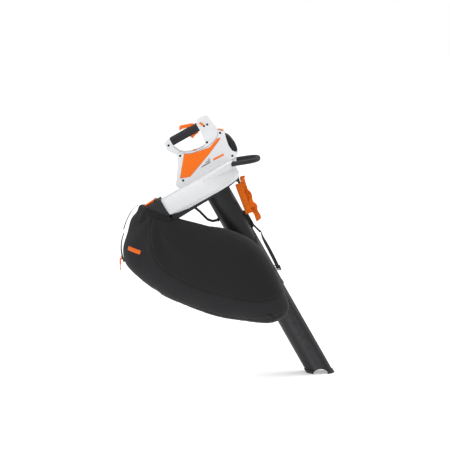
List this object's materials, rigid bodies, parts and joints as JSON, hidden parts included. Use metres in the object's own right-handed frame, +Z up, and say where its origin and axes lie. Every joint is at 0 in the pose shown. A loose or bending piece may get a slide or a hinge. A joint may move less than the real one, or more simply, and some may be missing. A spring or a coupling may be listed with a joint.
{
  "type": "leaf vacuum mulcher",
  "caption": "Hand-held cordless leaf vacuum and shredder with a scroll fan housing, top grip, loop handle, telescoped suction tube, side-hung collecting bag and folded shoulder strap",
  "frame": {"origin": "centre of the grip sleeve, where one hand carries the machine", "axes": "+Z up in the carrying pose, +X forward towards the nozzle, +Y to the side away from the bag"},
  "size_m": [0.8627, 0.3508, 1.0415],
  "materials": {
    "white_shell": "fine-grained moulded shell",
    "orange_shell": "satin moulded plastic",
    "black_shell": "textured moulded plastic",
    "handle_rubber": "soft overmould",
    "stripe_black": "printed film",
    "bag_cloth": "woven polyester",
    "black_webbing": "woven tape",
    "orange_webbing": "woven tape",
    "orange_pull": "moulded",
    "steel": "machined",
    "black_steel": "blacked",
    "alloy": "cast",
    "impeller_nylon": "glass-filled nylon",
    "contact_brass": "plated",
    "board_green": "lacquered",
    "switch_black": "moulded",
    "wire_red": "insulated"
  },
  "bodies": {
    "machine": {"fan_housing": "white_shell", "casing_near": "white_shell", "casing_far": "white_shell", "handle_frame_near": "white_shell", "handle_frame_far": "white_shell", "side_panel_near": "orange_shell", "side_panel_far": "orange_shell", "base_plate": "black_shell", "bag_connector": "black_shell", "strap_lug": "black_shell", "strap_hook": "black_shell", "strap_buckle": "black_shell", "harness_hook": "black_shell", "upper_tube": "black_shell", "grip_sleeve": "handle_rubber", "loop_handle": "handle_rubber", "side_stripes": "stripe_black", "bag_body": "bag_cloth", "bag_strap": "black_webbing", "grab_loop": "black_webbing", "bag_zip": "black_webbing", "harness_band": "orange_webbing", "harness_folds": "orange_webbing", "lower_bearing": "steel", "upper_bearing": "steel", "trigger_pin": "steel", "lockout_pin": "steel", "bow_pin": "steel", "release_pin": "steel", "trigger_spring": "steel", "lockout_spring": "steel", "button_spring": "steel", "motor_stator": "steel", "casing_screws": "black_steel", "deck_screws": "black_steel", "motor_can": "alloy", "battery_contacts": "contact_brass", "controller_board": "board_green", "trigger_switch": "switch_black", "wiring": "wire_red"},
    "trigger_body": {"trigger": "orange_shell"},
    "lockout_body": {"lockout_lever": "orange_shell"},
    "selector": {"speed_slider": "orange_shell"},
    "button": {"push_button": "orange_shell"},
    "latch": {"battery_latch": "orange_shell"},
    "battery_pack": {"battery": "black_shell"},
    "rotor": {"motor_rotor": "black_steel", "drive_shaft": "steel", "impeller": "impeller_nylon", "shredder_blade": "steel", "blade_spacer": "alloy", "blade_nut": "steel"},
    "nozzle": {"lower_tube": "black_shell"},
    "bow": {"tube_bow": "black_shell"},
    "release": {"bag_release": "orange_shell"},
    "zip": {"zip_slider": "orange_pull"},
    "pull": {"zip_pull": "orange_pull"}
  },
  "joints": [
    {"name": "trigger_pull", "type": "hinge", "parent": "machine", "child": "trigger_body", "pos_m": [0.04912, 0, 0.02079], "axis": [0, 1, 0], "range_deg": [0, 8], "stiffness_Nm_per_rad": 0.9, "deforming": ["trigger_spring"]},
    {"name": "lockout_press", "type": "hinge", "parent": "machine", "child": "lockout_body", "pos_m": [0.03914, 0, 0.03239], "axis": [0, -1, 0], "range_deg": [0, 7], "stiffness_Nm_per_rad": 0.9, "deforming": ["lockout_spring"]},
    {"name": "speed_select", "type": "slide", "parent": "machine", "child": "selector", "axis": [0.7945, 0, -0.6073], "range_m": [0, 0.007]},
    {"name": "button_press", "type": "slide", "parent": "machine", "child": "button", "axis": [0.3356, 0, -0.942], "range_m": [0, 0.003], "stiffness_N_per_m": 400, "deforming": ["button_spring"]},
    {"name": "latch_lift", "type": "slide", "parent": "machine", "child": "latch", "axis": [-0.4909, 0, 0.8712], "range_m": [0, 0.004], "stiffness_N_per_m": 400},
    {"name": "battery_slide", "type": "slide", "parent": "machine", "child": "battery_pack", "axis": [0.8712, 0, 0.4909], "range_m": [0, 0.105]},
    {"name": "rotor_spin", "type": "hinge", "parent": "machine", "child": "rotor", "pos_m": [0.08247, 0, -0.14636], "axis": [-0.4909, 0, 0.8712], "continuous": true},
    {"name": "nozzle_slide", "type": "slide", "parent": "machine", "child": "nozzle", "axis": [0.4909, 0, -0.8712], "range_m": [0, 0.075]},
    {"name": "bow_swing", "type": "hinge", "parent": "machine", "child": "bow", "pos_m": [0.03633, 0, -0.29059], "axis": [0, 1, 0], "range_deg": [0, 30]},
    {"name": "release_lift", "type": "hinge", "parent": "machine", "child": "release", "pos_m": [-0.11612, -0.084, -0.25023], "axis": [0, 1, 0], "range_deg": [0, 20]},
    {"name": "zip_run", "type": "hinge", "parent": "machine", "child": "zip", "pos_m": [-0.10398, -0.08739, -0.445], "axis": [0.1392, 0.9903, 0], "range_deg": [0, 34]},
    {"name": "pull_swing", "type": "hinge", "parent": "zip", "child": "pull", "pos_m": [-0.25676, -0.06591, -0.48924], "axis": [0.1392, 0.9903, 0], "range_deg": [-15, 40]}
  ]
}
